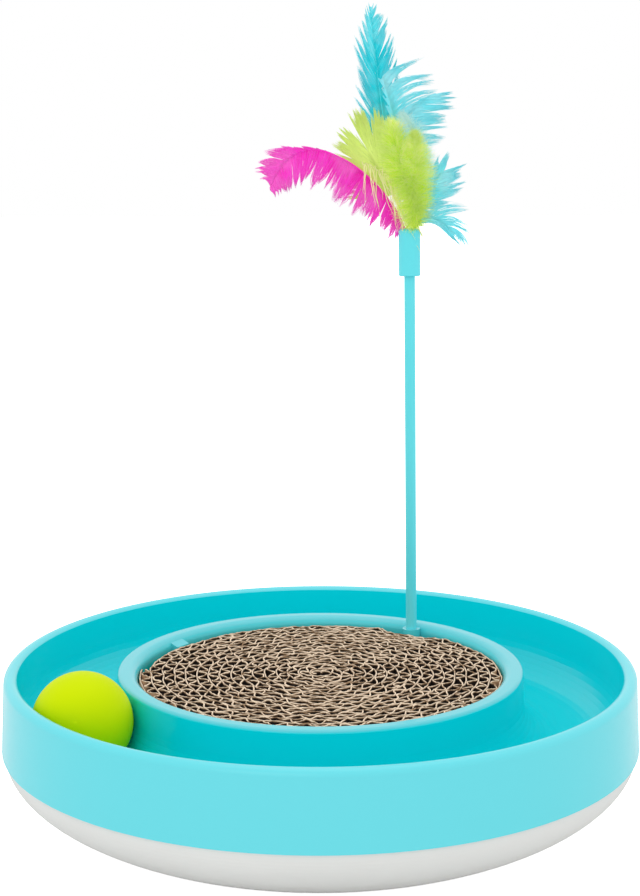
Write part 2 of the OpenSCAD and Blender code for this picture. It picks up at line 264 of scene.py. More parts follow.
groupShape = {
    "leastSize": 0.0001,          # m, so that no noise divides by 0
    "cloudRange": (0.35, 0.65),   # noise values between which a plastic's cloud sets in
    "fibreShift": 0.012,          # share of the paper's height that fibres move its tones
    "patchShift": 0.03,           # the same for larger patches
    "patchScale": 220.0,          # patches of the paper per metre
    "wornRange": (-0.1, 0.12),    # patch values between which the cut edge wears off
    "outwardRange": (0.3, 0.6),   # outward parts of the normal, for the pad's outer face
    "dyeRange": (0.42, 0.6),      # noise values between which a feather's patch sets in
}


def scaleFor(size):
    # The noise scale that gives spots of this size in metres
    return 1 / size.calc("MAXIMUM", groupShape["leastSize"])


def makeMouldedSkin(values):
    # Moulded plastic: faint clouds of colour, uneven gloss and a fine grain
    tree, given, target = newTree("mouldedSkin", "ShaderNodeTree", {
        "Color": ("Color", (0.8, 0.8, 0.8, 1)),
        "Cloud Color": ("Color", (0.7, 0.7, 0.7, 1)),
        "Cloud Size": ("Float", 0.05),
        "Grain Size": ("Float", 0.0006),
        "Gloss": ("Float", 0.3),
        "Gloss Spread": ("Float", 0.06),
        "Grain Depth": ("Float", 0.00001),
    }, {"Color": "Color", "Roughness": "Float", "Normal": "Vector"})
    spot = place(tree, "ShaderNodeTexCoord").outputs["Object"]
    clouds = noiseAt(tree, spot, scaleFor(given["Cloud Size"]), detail=3.0)
    grain = noiseAt(tree, spot, scaleFor(given["Grain Size"]), detail=2.0)
    return answer(tree, target, {
        "Color": blend(tree, clouds.mapped(*values["cloudRange"]),
                       given["Color"], given["Cloud Color"]),
        "Roughness": given["Gloss"] + (clouds - 0.5) * given["Gloss Spread"],
        "Normal": bumpOf(tree, grain, given["Grain Depth"])})


def makePaperFibre(values):
    # Brown paper seen on its cut edge: pale at the top, darker down in the cells, where painted
    # shade goes near black
    tree, given, target = newTree("paperFibre", "ShaderNodeTree", {
        "Edge Color": ("Color", (0.8, 0.6, 0.4, 1)),
        "Face Color": ("Color", (0.4, 0.25, 0.12, 1)),
        "Cell Shade Color": ("Color", (0.1, 0.05, 0.02, 1)),
        "Side Color": ("Color", (0.5, 0.3, 0.17, 1)),
        "Pale Share": ("Float", 0.99),
        "Dark Share": ("Float", 0.9),
        "Wear": ("Float", 0.0),
        "Fibre Size": ("Float", 0.0008),
        "Fibre Depth": ("Float", 0.0001),
    }, {"Color": "Color", "Normal": "Vector"})
    seen = place(tree, "ShaderNodeTexCoord").outputs
    spot = seen["Object"]
    share = attributeOf(tree, "heightShare")
    height = share.calc("MAXIMUM", 1 - share)    # both cut edges of the strip look alike
    fibres = noiseAt(tree, spot, scaleFor(given["Fibre Size"]), detail=4.0)
    patch = noiseAt(tree, spot, values["patchScale"], detail=2.0) - 0.5
    lowered = height + (fibres - 0.5) * values["fibreShift"] + patch * values["patchShift"]
    # Painted shade: below the pale cut edge the paper darkens to the deep colour, near black,
    # down in the cells
    face = blend(tree, lowered.mapped(given["Dark Share"], given["Pale Share"]),
                 given["Cell Shade Color"], given["Face Color"])
    worn = 1 - given["Wear"] * patch.mapped(*values["wornRange"])
    cut = blend(tree, lowered.mapped(given["Pale Share"], 1.0) * worn, face, given["Edge Color"])
    # The outer face of the last turn keeps the paper's side tone, without the painted shade of
    # the cells
    x, y = Arrow(tree, spot).parts()[:2]
    across, along = Arrow(tree, seen["Normal"]).parts()[:2]
    outward = ((x * across + y * along) / (x * x + y * y) ** 0.5).mapped(*values["outwardRange"])
    return answer(tree, target, {
        "Color": blend(tree, attributeOf(tree, "outerTurn") * outward, cut, given["Side Color"]),
        "Normal": bumpOf(tree, fibres, given["Fibre Depth"])})


def makeDyedBarb(values):
    # Dyed feather: deep by the quill, pale at the barb's tip, each barb a little different
    tree, given, target = newTree("dyedBarb", "ShaderNodeTree", {
        "Root Color": ("Color", (0.0, 0.5, 0.6, 1)),
        "Middle Color": ("Color", (0.1, 0.7, 0.8, 1)),
        "Tip Color": ("Color", (0.3, 0.8, 0.85, 1)),
        "Quill Color": ("Color", (0.8, 0.9, 0.9, 1)),
        "Barb Contrast": ("Float", 0.5),
        "Patch Color": ("Color", (0.0, 0.5, 0.6, 1)),
        "Patch Share": ("Float", 0.0),
        "Patch Size": ("Float", 0.01),
    }, {"Color": "Color"})
    tone = attributeOf(tree, "barbTone") - 0.5
    share = attributeOf(tree, "barbShare") + tone * given["Barb Contrast"]
    low = blend(tree, share.mapped(0.0, 0.5), given["Root Color"], given["Middle Color"])
    high = blend(tree, share.mapped(0.5, 1.0), low, given["Tip Color"])
    spot = place(tree, "ShaderNodeTexCoord").outputs["Object"]
    patches = noiseAt(tree, spot, scaleFor(given["Patch Size"]), detail=1.0)
    patched = blend(tree, given["Patch Share"] * patches.mapped(*values["dyeRange"]),
                    high, given["Patch Color"])
    return answer(tree, target, {
        "Color": blend(tree, attributeOf(tree, "onQuill"), patched, given["Quill Color"])})


mouldedSkin = makeMouldedSkin(groupShape)
paperFibre = makePaperFibre(groupShape)
dyedBarb = makeDyedBarb(groupShape)
print("shader groups are built")


# Materials

def newMaterial(name, shader):
    material = bpy.data.materials.new(name)
    material.use_nodes = True
    tree = material.node_tree
    principled = tree.nodes["Principled BSDF"]
    for socket, value in shader.items():
        principled.inputs[socket].default_value = value
    return material, tree, principled


def groupIn(tree, group, values):
    return place(tree, "ShaderNodeGroup", values, node_tree=group)


def shade(red, green, blue):
    return (red, green, blue, 1)


plasticLooks = {
    "whitePlastic": {
        "skin": {"Color": shade(0.74, 0.74, 0.72), "Cloud Color": shade(0.72, 0.72, 0.70),
                 "Gloss": 0.42, "Grain Depth": 0.00001},
        "shader": {"Specular IOR Level": 0.4},
    },
    "limePlastic": {
        "skin": {"Color": shade(0.61, 0.76, 0.0), "Cloud Color": shade(0.59, 0.74, 0.0),
                 "Gloss": 0.45, "Grain Depth": 0.00001},
        "shader": {"Specular IOR Level": 0.04},
    },
    "aquaRod": {
        "skin": {"Color": shade(0.125, 0.76, 0.84), "Cloud Color": shade(0.115, 0.74, 0.82),
                 "Gloss": 0.35, "Grain Depth": 0.00001},
        "shader": {"Specular IOR Level": 0.45},
    },
    "screwSteel": {
        "skin": {"Color": shade(0.6, 0.6, 0.62), "Cloud Color": shade(0.5, 0.5, 0.52),
                 "Gloss": 0.3, "Grain Depth": 0.00002},
        "shader": {"Metallic": 1.0},
    },
    "footRubber": {
        "skin": {"Color": shade(0.06, 0.06, 0.065), "Cloud Color": shade(0.08, 0.08, 0.08),
                 "Gloss": 0.75, "Grain Depth": 0.00004},
        "shader": {},
    },
    "clearGlue": {
        "skin": {"Color": shade(0.75, 0.7, 0.5), "Cloud Color": shade(0.6, 0.55, 0.4),
                 "Gloss": 0.2, "Grain Depth": 0.00004},
        "shader": {},
    },
}


def makePlastic(name, looks):
    material, tree, principled = newMaterial(name, looks["shader"])
    skin = groupIn(tree, mouldedSkin, looks["skin"])
    for socket in ("Roughness", "Normal"):
        tree.links.new(skin.outputs[socket], principled.inputs[socket])
    tree.links.new(skin.outputs["Color"], principled.inputs["Base Color"])
    return material, tree, skin


plastics = {name: makePlastic(name, looks)[0] for name, looks in plasticLooks.items()}

trayLooks = {
    "skin": {"Gloss": 0.2, "Gloss Spread": 0.04, "Grain Depth": 0.000006},
    "shader": {"Specular IOR Level": 0.35},
    "open": shade(0.13, 0.68, 0.755),      # painted light: skirt, rim and ring, as in full light
    "shadedTone": shade(0.0, 0.66, 0.73),        # painted shade: track and well
    "outside": (0.1180, 0.1200),           # m, radii between which the skirt's painted light begins
    "above": (0.0500, 0.0515),             # m, heights between which the ring's painted light begins
    "facingUp": (0.25, 0.75),              # upward parts of the normal for the same painted light
    "inside": (0.0755, 0.0745),            # m, radii between which the well's wall takes the painted light
    "insideShare": 0.6,                    # how much of the painted light the well's wall takes
    "crown": shade(0.115, 0.59, 0.66),     # painted shade on the ring's flat top
    "crownEdge": (0.0950, 0.0900),         # m, radii between which that painted shade ends
}


def makeTrayPlastic(looks):
    material, tree, skin = makePlastic("aquaTray", looks)
    # Lit and shaded copies of one aqua: painted light on the skirt, rim, ring and partly on the
    # well's wall, painted shade in the track and well
    x, y, z = Arrow(tree, place(tree, "ShaderNodeTexCoord").outputs["Object"]).parts()
    radius = (x * x + y * y) ** 0.5
    outside = radius.mapped(*looks["outside"], kind="SMOOTHSTEP")
    inside = radius.mapped(*looks["inside"], kind="SMOOTHSTEP")
    normal = Arrow(tree, place(tree, "ShaderNodeNewGeometry").outputs["Normal"])
    facingUp = normal.parts()[2].mapped(*looks["facingUp"], kind="SMOOTHSTEP")
    onTop = (z.mapped(*looks["above"], kind="SMOOTHSTEP")
             * facingUp.calc("MAXIMUM", inside * looks["insideShare"]))
    # Painted shade on the ring's flat top, inside the painted light
    bright = blend(tree, radius.mapped(*looks["crownEdge"]), looks["open"], looks["crown"])
    color = blend(tree, outside.calc("MAXIMUM", onTop), looks["shadedTone"], bright)
    for socket in ("Color", "Cloud Color"):
        tree.links.new(color, skin.inputs[socket])
    return material


plastics["aquaTray"] = makeTrayPlastic(trayLooks)

paperLooks = {
    # The deep colours below are painted shade down in the cells
    "kraftLiner": {
        "Edge Color": shade(1.0, 0.83, 0.65), "Face Color": shade(0.33, 0.205, 0.11),
        "Cell Shade Color": shade(0.008, 0.004, 0.002), "Pale Share": 0.994,
        "Dark Share": 0.973, "Wear": 0.5},
    "kraftFluting": {
        "Edge Color": shade(1.0, 0.81, 0.61), "Face Color": shade(0.28, 0.17, 0.09),
        "Cell Shade Color": shade(0.008, 0.004, 0.002), "Pale Share": 0.994,
        "Dark Share": 0.973, "Wear": 0.2},
}
paperShader = {"Roughness": 0.9, "Specular IOR Level": 0.2}


def makePaper(name, looks):
    material, tree, principled = newMaterial(name, paperShader)
    paper = groupIn(tree, paperFibre, looks)
    tree.links.new(paper.outputs["Color"], principled.inputs["Base Color"])
    tree.links.new(paper.outputs["Normal"], principled.inputs["Normal"])
    return material


papers = {name: makePaper(name, looks) for name, looks in paperLooks.items()}

featherLooks = {
    "cyanFeather": {
        "Root Color": shade(0.0, 0.50, 0.60), "Middle Color": shade(0.0, 0.62, 0.71),
        "Tip Color": shade(0.26, 0.80, 0.86), "Quill Color": shade(0.1, 0.7, 0.78),
        "Barb Contrast": 0.6, "Patch Color": shade(0.28, 0.74, 0.82),
        "Patch Share": 0.35, "Patch Size": 0.007},
    "cyanPale": {
        "Root Color": shade(0.16, 0.72, 0.80), "Middle Color": shade(0.20, 0.76, 0.84),
        "Tip Color": shade(0.12, 0.66, 0.74), "Quill Color": shade(0.3, 0.76, 0.82),
        "Barb Contrast": 0.7, "Patch Color": shade(0.36, 0.78, 0.84),
        "Patch Share": 0.7, "Patch Size": 0.01},
    "cyanDown": {
        "Root Color": shade(0.52, 0.82, 0.80), "Middle Color": shade(0.56, 0.86, 0.84),
        "Tip Color": shade(0.42, 0.80, 0.82), "Quill Color": shade(0.5, 0.8, 0.8),
        "Barb Contrast": 0.9, "Patch Color": shade(0.66, 0.86, 0.78),
        "Patch Share": 0.6, "Patch Size": 0.012},
    "limeFeather": {
        "Root Color": shade(0.62, 0.78, 0.18), "Middle Color": shade(0.66, 0.80, 0.20),
        "Tip Color": shade(0.64, 0.80, 0.16), "Quill Color": shade(0.62, 0.76, 0.2),
        "Barb Contrast": 0.4},
    "limeDown": {
        "Root Color": shade(0.50, 0.74, 0.02), "Middle Color": shade(0.70, 0.92, 0.06),
        "Tip Color": shade(0.86, 0.94, 0.36), "Quill Color": shade(0.6, 0.86, 0.04),
        "Barb Contrast": 1.2, "Patch Color": shade(0.56, 0.72, 0.18),
        "Patch Share": 0.55, "Patch Size": 0.009},
    "limeWisp": {
        "Root Color": shade(0.70, 0.78, 0.20), "Middle Color": shade(0.83, 0.80, 0.36),
        "Tip Color": shade(0.86, 0.78, 0.45), "Quill Color": shade(0.6, 0.8, 0.1),
        "Barb Contrast": 0.5},
    "magentaFeather": {
        "Root Color": shade(0.84, 0.0, 0.42), "Middle Color": shade(0.92, 0.04, 0.58),
        "Tip Color": shade(0.93, 0.10, 0.66), "Quill Color": shade(0.85, 0.02, 0.45),
        "Barb Contrast": 0.7, "Patch Color": shade(0.90, 0.16, 0.62),
        "Patch Share": 0.5, "Patch Size": 0.01},
}
featherShader = {
    "Roughness": 0.7, "Specular IOR Level": 0.2, "Sheen Weight": 0.25, "Sheen Roughness": 0.4,
    "Emission Strength": 0.2,    # painted glow in the dye's colour, standing in for light that passes through the thin barbs from behind
}


def makeDyeAndGlow(name, looks):
    material, tree, principled = newMaterial(name, featherShader)
    dye = groupIn(tree, dyedBarb, looks)
    # The dye colour also feeds the emission, a painted glow
    for socket in ("Base Color", "Emission Color"):
        tree.links.new(dye.outputs["Color"], principled.inputs[socket])
    return material


dyes = {name: makeDyeAndGlow(name, looks) for name, looks in featherLooks.items()}
print("materials are built")


# Plastic parts of the frame

nodeFinish = {
    "track_tray": "aquaTray", "base_bowl": "whitePlastic", "base_screws": "screwSteel",
    "rubber_feet": "footRubber", "ball_front_half": "limePlastic",
    "ball_back_half": "limePlastic", "wand_rod": "aquaRod", "wand_ferrule": "aquaRod",
    "quill_plug": "clearGlue",
}
for name, finish in nodeFinish.items():
    slots = nodes[name].data.materials
    slots.clear()
    slots.append(plastics[finish])
print("frame parts have their finish")


# Scratch pad: one strip of single-faced board, wound outwards

padBoard = {
    "turn": 4.45,         # mm from one turn to the next
    "paper": 0.5,         # mm, thickness of the flat paper
    "wavyPaper": 0.5,     # mm, thickness of the wavy paper
    "wave": 1.66,         # mm, height of a flute to each side of its middle
    "pitch": 7.8,         # mm, length of a full flute
    "firstTurn": 0.12,    # turns from the middle to the start of the flat paper
    "lastTurn": 16.2,     # turns from the middle to its end, where it closes the outside
    "endAzimuth": 176,    # degrees, where the flat paper ends
    "aside": 1.11,        # mm to +X from the tray's axis to the middle of the winding
    "linerStep": 1.1,     # mm between points along the flat paper
    "pointsPerFlute": 14,
    "ragged": 0.8,        # mm that the cut edges wander up and down
    "wander": 0.8,        # mm that the turns wander in and out
    "jitter": 4.4,        # radians that the flutes crowd and spread
    "slant": 1.8,         # mm that the flutes lean along the strip
    "crowding": 90,       # per metre, how fast the flutes' jitter changes along the strip
    "leaning": 60,        # per metre, how fast their slant does
    "leaningGap": 50.0,   # noise distance that keeps slant and jitter apart
    "drifting": 90.0,     # per metre, how fast the turns' wander does
    "fraying": 420.0,     # per metre, how fast the cut edges do
    "uncut": 0.62,        # noise value at which a cut edge keeps its height
    "flattened": 0.5,     # share of a flute's height that the jitter takes
    "lastPart": 1.02,     # turns from the end that count as the outer turn
    "dent": 4.9,          # mm that the outer turns give way at the socket
    "dentFrom": 52.0,     # mm, radius where the dent begins
    "dentTo": 71.2,       # mm, radius where it is deepest
    "dentAzimuth": 56.9,  # degrees, seen from the middle of the winding
    "spring": 1.7,        # mm that the outer turns spring out near the strip's end
    "springAzimuth": 162, # degrees
    # Cosines of the angles from their middles between which dent and spring set in
    "dentReach": (0.975, 0.9972),
    "springReach": (0.93, 0.995),
}


def makeBoardTree(values):
    tree, given, target = newTree("boardWinder", "GeometryNodeTree", {
        "Geometry": ("Geometry", None),
        "Turn": ("Float", 0.00445), "First Turn": ("Float", 0.7), "Last Turn": ("Float", 15.0),
        "Lag": ("Float", 0.0), "Step": ("Float", 0.001), "Wave": ("Float", 0.0),
        "Pitch": ("Float", 0.0078), "Thickness": ("Float", 0.0004),
        "Low": ("Float", 0.0), "High": ("Float", 0.02),
        "Ragged": ("Float", 0.0003), "Wander": ("Float", 0.0002), "Jitter": ("Float", 1.6),
        "Slant": ("Float", 0.0), "Outer Turn": ("Float", 16.2), "End Azimuth": ("Float", 3.0),
        "Aside": ("Float", 0.0),
        "Dent": ("Float", 0.006), "Dent From": ("Float", 0.05), "Dent To": ("Float", 0.0712),
        "Dent Azimuth": ("Float", 0.98), "Spring": ("Float", 0.001),
        "Spring Azimuth": ("Float", 2.8), "Seed": ("Float", 0.0),
        "Finish": ("Material", None),
    }, {"Geometry": "Geometry"})
    # A line with one point for each step along the strip
    start = given["Turn"] * given["First Turn"] * given["First Turn"] * math.pi
    end = given["Turn"] * given["Last Turn"] * given["Last Turn"] * math.pi
    count = ((end - start) / given["Step"]).calc("CEIL")
    line = place(tree, "GeometryNodeCurvePrimitiveLine")
    points = place(tree, "GeometryNodeResampleCurve", {"Curve": line.outputs[0], "Count": count})
    index = Field(tree, place(tree, "GeometryNodeInputIndex").outputs[0])
    length = start + (end - start) * (index / (count - 1))
    # Radius and angle of the spiral, and the flutes across it
    turns = (length / (given["Turn"] * math.pi)) ** 0.5
    jitter = noiseAlong(tree, length * values["crowding"] + given["Seed"], detail=1.0) - 0.5
    phase = length / given["Pitch"] * (2 * math.pi) + jitter * given["Jitter"]
    height = given["Wave"] * (1.0 - jitter.calc("ABSOLUTE") * values["flattened"])
    radius = given["Turn"] * turns + height * phase.calc("COSINE")
    angle = given["End Azimuth"] + (given["Outer Turn"] - turns + given["Lag"]) * (2 * math.pi)
    leaning = noiseAlong(tree, length * values["leaning"] + given["Seed"]
                         + values["leaningGap"], detail=2.0)
    slant = given["Slant"] * (leaning - 0.5) * 2
    angle = angle + slant * phase.calc("COSINE") / radius
    # The same slow wander for both papers keeps them apart
    flat = arrowOf(tree, angle.calc("COSINE") * radius, angle.calc("SINE") * radius, 0.0)
    drift = noiseAt(tree, flat, values["drifting"], detail=0.0)
    radius = radius + (drift - 0.5) * given["Wander"] * 2
    # Outer turns give way round the socket
    near = (angle - given["Dent Azimuth"]).calc("COSINE").mapped(
        *values["dentReach"], kind="SMOOTHSTEP")
    pressed = radius.mapped(given["Dent From"], given["Dent To"], 0.0, given["Dent"])
    radius = radius - near * pressed
    # They spring out where the strip ends
    loose = (angle - given["Spring Azimuth"]).calc("COSINE").mapped(
        *values["springReach"], kind="SMOOTHSTEP")
    inner = given["Dent To"] - given["Turn"]
    radius = radius + (loose * radius.mapped(given["Dent From"], inner, 0.0, given["Spring"])
                       * radius.mapped(inner, given["Dent To"], 1.0, 0.0))
    path = arrowOf(tree, angle.calc("COSINE") * radius + given["Aside"],
                   angle.calc("SINE") * radius, 0.0)
    onLast = (turns - given["Outer Turn"] + values["lastPart"]).calc("GREATER_THAN", 0.0)
    wound = place(tree, "GeometryNodeSetPosition", {
        "Geometry": remember(tree, points.outputs[0], "outerTurn", onLast), "Position": path})
    upright = place(tree, "GeometryNodeSetCurveNormal", {"Curve": wound.outputs[0]}, mode="Z_UP")
    tall = given["High"] - given["Low"]
    section = place(tree, "GeometryNodeCurvePrimitiveQuadrilateral",
                    {"Width": given["Thickness"], "Height": tall})
    sheet = place(tree, "GeometryNodeCurveToMesh", {
        "Curve": upright.outputs[0], "Profile Curve": section.outputs[0], "Fill Caps": True})
    # Each point remembers how high it stands, and the cut edge is uneven
    spot = Arrow(tree, place(tree, "GeometryNodeInputPosition").outputs[0])
    share = spot.parts()[2] / tall + 0.5
    uneven = noiseAt(tree, spot, values["fraying"], detail=2.0) - values["uncut"]
    rise = (given["Low"] + given["High"]) / 2 + uneven * given["Ragged"] * 2 * share.calc("ROUND")
    raised = place(tree, "GeometryNodeSetPosition", {
        "Geometry": remember(tree, sheet.outputs[0], "heightShare", share),
        "Offset": arrowOf(tree, 0.0, 0.0, rise)})
    whole = place(tree, "GeometryNodeRealizeInstances", {"Geometry": raised.outputs[0]})
    finished = place(tree, "GeometryNodeSetMaterial", {
        "Geometry": whole.outputs[0], "Material": given["Finish"]})
    return answer(tree, target, {"Geometry": finished.outputs[0]})


def windBoard(name, tree, node, values, own, finish):
    low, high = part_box(node)
    piece = grow(name, tree, {
        "Turn": values["turn"] * mm, "First Turn": own["firstTurn"], "Last Turn": own["lastTurn"],
        "Lag": own["lag"], "Step": own["step"] * mm, "Wave": own["wave"] * mm,
        "Pitch": values["pitch"] * mm, "Thickness": own["thick"] * mm,
        "Low": low.z, "High": high.z, "Ragged": values["ragged"] * mm,
        "Wander": values["wander"] * mm, "Jitter": values["jitter"],
        "Slant": own["slant"] * mm, "Outer Turn": values["lastTurn"],
        "End Azimuth": math.radians(values["endAzimuth"]), "Aside": values["aside"] * mm,
        "Dent": values["dent"] * mm,
        "Dent From": values["dentFrom"] * mm, "Dent To": values["dentTo"] * mm,
        "Dent Azimuth": math.radians(values["dentAzimuth"]),
        "Spring": values["spring"] * mm,
        "Spring Azimuth": math.radians(values["springAzimuth"]), "Finish": papers[finish]})
    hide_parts(node)
    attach(piece, "pad")
    return piece


boardTree = makeBoardTree(padBoard)
liner = windBoard("padLiner", boardTree, "pad_liner", padBoard, {
    "firstTurn": padBoard["firstTurn"], "lastTurn": padBoard["lastTurn"], "lag": 0.0,
    "step": padBoard["linerStep"], "wave": 0.0, "slant": 0.0,
    "thick": padBoard["paper"]}, "kraftLiner")
# The wavy paper lies half a turn inside the flat one
fluting = windBoard("padFluting", boardTree, "pad_fluting", padBoard, {
    "firstTurn": padBoard["firstTurn"] + 0.5, "lastTurn": padBoard["lastTurn"] - 0.5, "lag": 0.5,
    "step": padBoard["pitch"] / padBoard["pointsPerFlute"], "wave": padBoard["wave"],
    "slant": padBoard["slant"], "thick": padBoard["wavyPaper"]}, "kraftFluting")
print("pad is wound:", len(liner.data.polygons) + len(fluting.data.polygons), "faces")


# Feathers

plugRadius = 2.9          # mm, radius of the glue that holds the quills

plainFeather = {          # what holds for a row that says nothing else
    "turn": 0,            # degrees that the feather is turned round its foot
    "lean": 0,            # degrees that it leans back
    "pull": 1.0,          # share by which the barbs of a clump draw together
    "pullPower": 1.8,     # higher keeps them apart for longer
    "fade": 0.5,          # share of the tone that follows the quill, not the barb
    "stray": 0.06,        # radians that a barb strays
    "spread": 0,          # degrees that barbs stand out of the vane
    "wave": 0.3,          # mm that a barb curls
    "droop": 0.0,         # sag as a share of the barb's length
    "segments": 5,        # faces along a barb
    "wide": 0.17,         # mm, half width of a barb
    "thick": 0.05,        # mm, half thickness of a barb
    "quill": 0.42,        # mm, radius of the quill at its foot
}

# Each row: the quill's seat in shares of the plug's radius, the quill's line in mm to the right
# and up, where its vane starts, and for each side the reach in mm, the sweep at the foot and at
# the tip and the curl of its barbs in degrees, the number of its clumps, where along it the
# barbs are longest (lower is nearer the foot) and how their length swells there (lower is
# fuller). Then the number of barbs, how much clumps differ in length and how far barbs bow
featherRows = {
    "featherCyanTall": {
        "node": "feather_cyan_tall", "dye": "cyanFeather", "seat": (-0.2, 0.72),
        "lean": -5, "line": [(0, 0), (-7.5, 24), (-11.4, 54), (-14.5, 90)], "start": 0.3,
        "left": (26, 33, 14, 4, 15, 0.62, 0.8), "right": (20, 34, 38, 4, 20, 0.68, 0.7),
        "barbs": 1300, "pullPower": 2.8, "ragged": 0.25, "cup": 0.1, "seed": 3,
        "fade": 0.8},
    "featherCyanCurl": {
        "node": "feather_cyan_curl", "dye": "cyanPale", "seat": (0.12, 0.34),
        "line": [(0, 0), (-1, 18), (-5, 42), (-11, 61)], "start": 0.68,
        "left": (5, 30, 25, 0, 4, 0.7, 0.4), "right": (23, 48, 44, -32, 4, 0.7, 0.3),
        "barbs": 420, "ragged": 0.15, "cup": 0.15, "seed": 5},
    "featherCyanMiddle": {
        "node": "feather_cyan_middle", "dye": "cyanPale", "seat": (0.5, 0.6),
        "line": [(0, 0), (-4, 20), (-15, 48), (10, 54)], "start": 0.48,
        "left": (3, 30, 12, 4, 6, 0.8, 0.4), "right": (21, 98, 4, -4, 14, 0.75, 0.5),
        "barbs": 1300, "pull": 0.95, "pullPower": 4.0, "ragged": 0.16, "cup": 0.1, "seed": 8},
    "featherCyanRight": {
        "node": "feather_cyan_right", "dye": "cyanPale", "seat": (0.7, 0.04),
        "line": [(0, 0), (2, 9), (6, 18), (12, 23)], "start": 0.2,
        "left": (14, 30, 20, 4, 5, 0.8, 0.35), "right": (17, 78, 20, 4, 7, 0.8, 0.35),
        "barbs": 900, "pullPower": 3.6, "ragged": 0.25, "cup": 0.1, "seed": 12},
    "featherCyanLow": {
        "node": "feather_cyan_low", "dye": "cyanPale", "seat": (0.55, -0.26), "turn": -20,
        "line": [(0, 0), (4, 5), (10, 5), (17, -2)], "start": 0.15,
        "left": (18, 62, 24, 34, 5, 0.6, 0.4), "right": (13, 40, 20, 12, 5, 0.8, 0.4),
        "barbs": 320, "ragged": 0.3, "cup": 0.1, "seed": 17},
    "featherCyanFluff": {
        "dye": "cyanDown", "seat": (0.4, 0.2),
        "line": [(0, 0), (4, 16), (6, 32), (-4, 46)], "start": 0.2,
        "left": (10, 80, 40, 0, 30, 0.9, 0.3), "right": (10, 80, 40, 0, 30, 0.9, 0.3),
        "barbs": 2400, "pull": 0.3, "ragged": 0.3, "cup": 0.0, "seed": 19, "stray": 0.6,
        "spread": 70, "wave": 3.0, "droop": 0.1, "segments": 6, "wide": 0.12, "quill": 0.05},
    "featherLimeVane": {
        "node": "feather_lime_vane", "dye": "limeFeather", "seat": (-0.3, -0.5),
        "lean": -4, "line": [(0, 0), (-4, 12), (-10, 21), (-15, 30)], "start": 0.45,
        "left": (23, 80, 10, 3, 34, 1.0, 0.15), "right": (27, 52, 4, 3, 32, 1.0, 0.15),
        "barbs": 3800, "pullPower": 3.6, "ragged": 0.14, "cup": 0.08, "seed": 21},
    "featherMagenta": {
        "node": "feather_magenta", "dye": "magentaFeather", "seat": (-0.66, -0.24),
        "lean": 1, "line": [(0, 0), (-7, 20), (-42, 51), (-55, 16.5)], "start": 0.0,
        "left": (19, 140, 45, 4, 30, 0.8, 0.5), "right": (13.5, -100, 95, 6, 22, 4.0, 1.6),
        "barbs": 3000, "pullPower": 7.0, "ragged": 0.25, "cup": 0.1, "seed": 27},
    "featherLimeDown": {
        "node": "feather_lime_down", "dye": "limeDown", "seat": (0.3, -0.76),
        "lean": 3, "line": [(2, 1.5), (0, 14), (2, 27), (1, 38)], "start": 0.0,
        "left": (13, 104, 36, 0, 40, 0.8, 0.45), "right": (12, 85, 36, 0, 40, 0.9, 0.4),
        "barbs": 4900, "pull": 0.3, "ragged": 0.3, "cup": 0.0, "seed": 33, "stray": 0.7,
        "spread": 100, "wave": 3.6, "droop": 0.1, "segments": 6, "wide": 0.12, "quill": 0.1},
    "featherLimeTuft": {
        "dye": "limeDown", "seat": (0, -0.8),
        "lean": 2, "line": [(0, 14), (-3, 22), (-5, 31), (-7, 41)], "start": 0.0,
        "left": (12, 80, 30, 0, 30, 0.9, 0.25), "right": (12, 80, 30, 0, 30, 0.9, 0.25),
        "barbs": 2600, "pull": 0.3, "ragged": 0.3, "cup": 0.0, "seed": 37, "stray": 0.7,
        "spread": 90, "wave": 3.2, "droop": 0.1, "segments": 6, "wide": 0.12, "quill": 0.05},
    "featherLimeWisps": {
        "dye": "limeWisp", "seat": (0.1, -0.8),
        "lean": 4, "line": [(2, 4), (-1, 16), (-8, 21), (-19, 26)], "start": 0.0,
        "left": (27, 172, 112, -10, 30, 0.9, 0.3), "right": (4, 60, 40, 0, 20, 0.9, 0.3),
        "barbs": 70, "pull": 0.3, "ragged": 0.5, "cup": 0.0, "seed": 41, "stray": 0.25,
        "spread": 20, "wave": 4.0, "droop": 0.2, "segments": 8, "wide": 0.3, "quill": 0.02},
}
sideParts = ("Reach", "Low Sweep", "High Sweep", "Hook", "Clumps", "Peak", "Fullness")

vaneShape = {
    "clumpDrift": 0.45,    # how fast the clumps' borders wander along the quill
    "clumpShift": 1.6,     # clumps that they wander by
    "sideGap": 17,         # noise distance between the two sides
    "clumpTurn": 0.09,     # radians that a clump turns
    "shortest": 0.8,       # shortest barb of a clump, as a share of the longest
    "held": 0.8,           # share of a barb's straying that the pull takes away
    "curlAlong": 1.7,      # noise distance along a barb
    "curlStep": 7.31,      # noise distance from barb to barb
    "tipShare": 1.02,      # share of its length at which a barb's width would end
    "taper": 0.55,         # lower keeps a barb wide for longer
    "layers": 3,           # half thicknesses of a barb that barbs lie in front of each other
    "barbTone": 0.6,       # share of the tone that each barb has to itself
    "quillTaper": 0.85,    # share of its radius that the quill loses towards its tip
    "quillSteps": 24,
    "quillSides": 8,
}


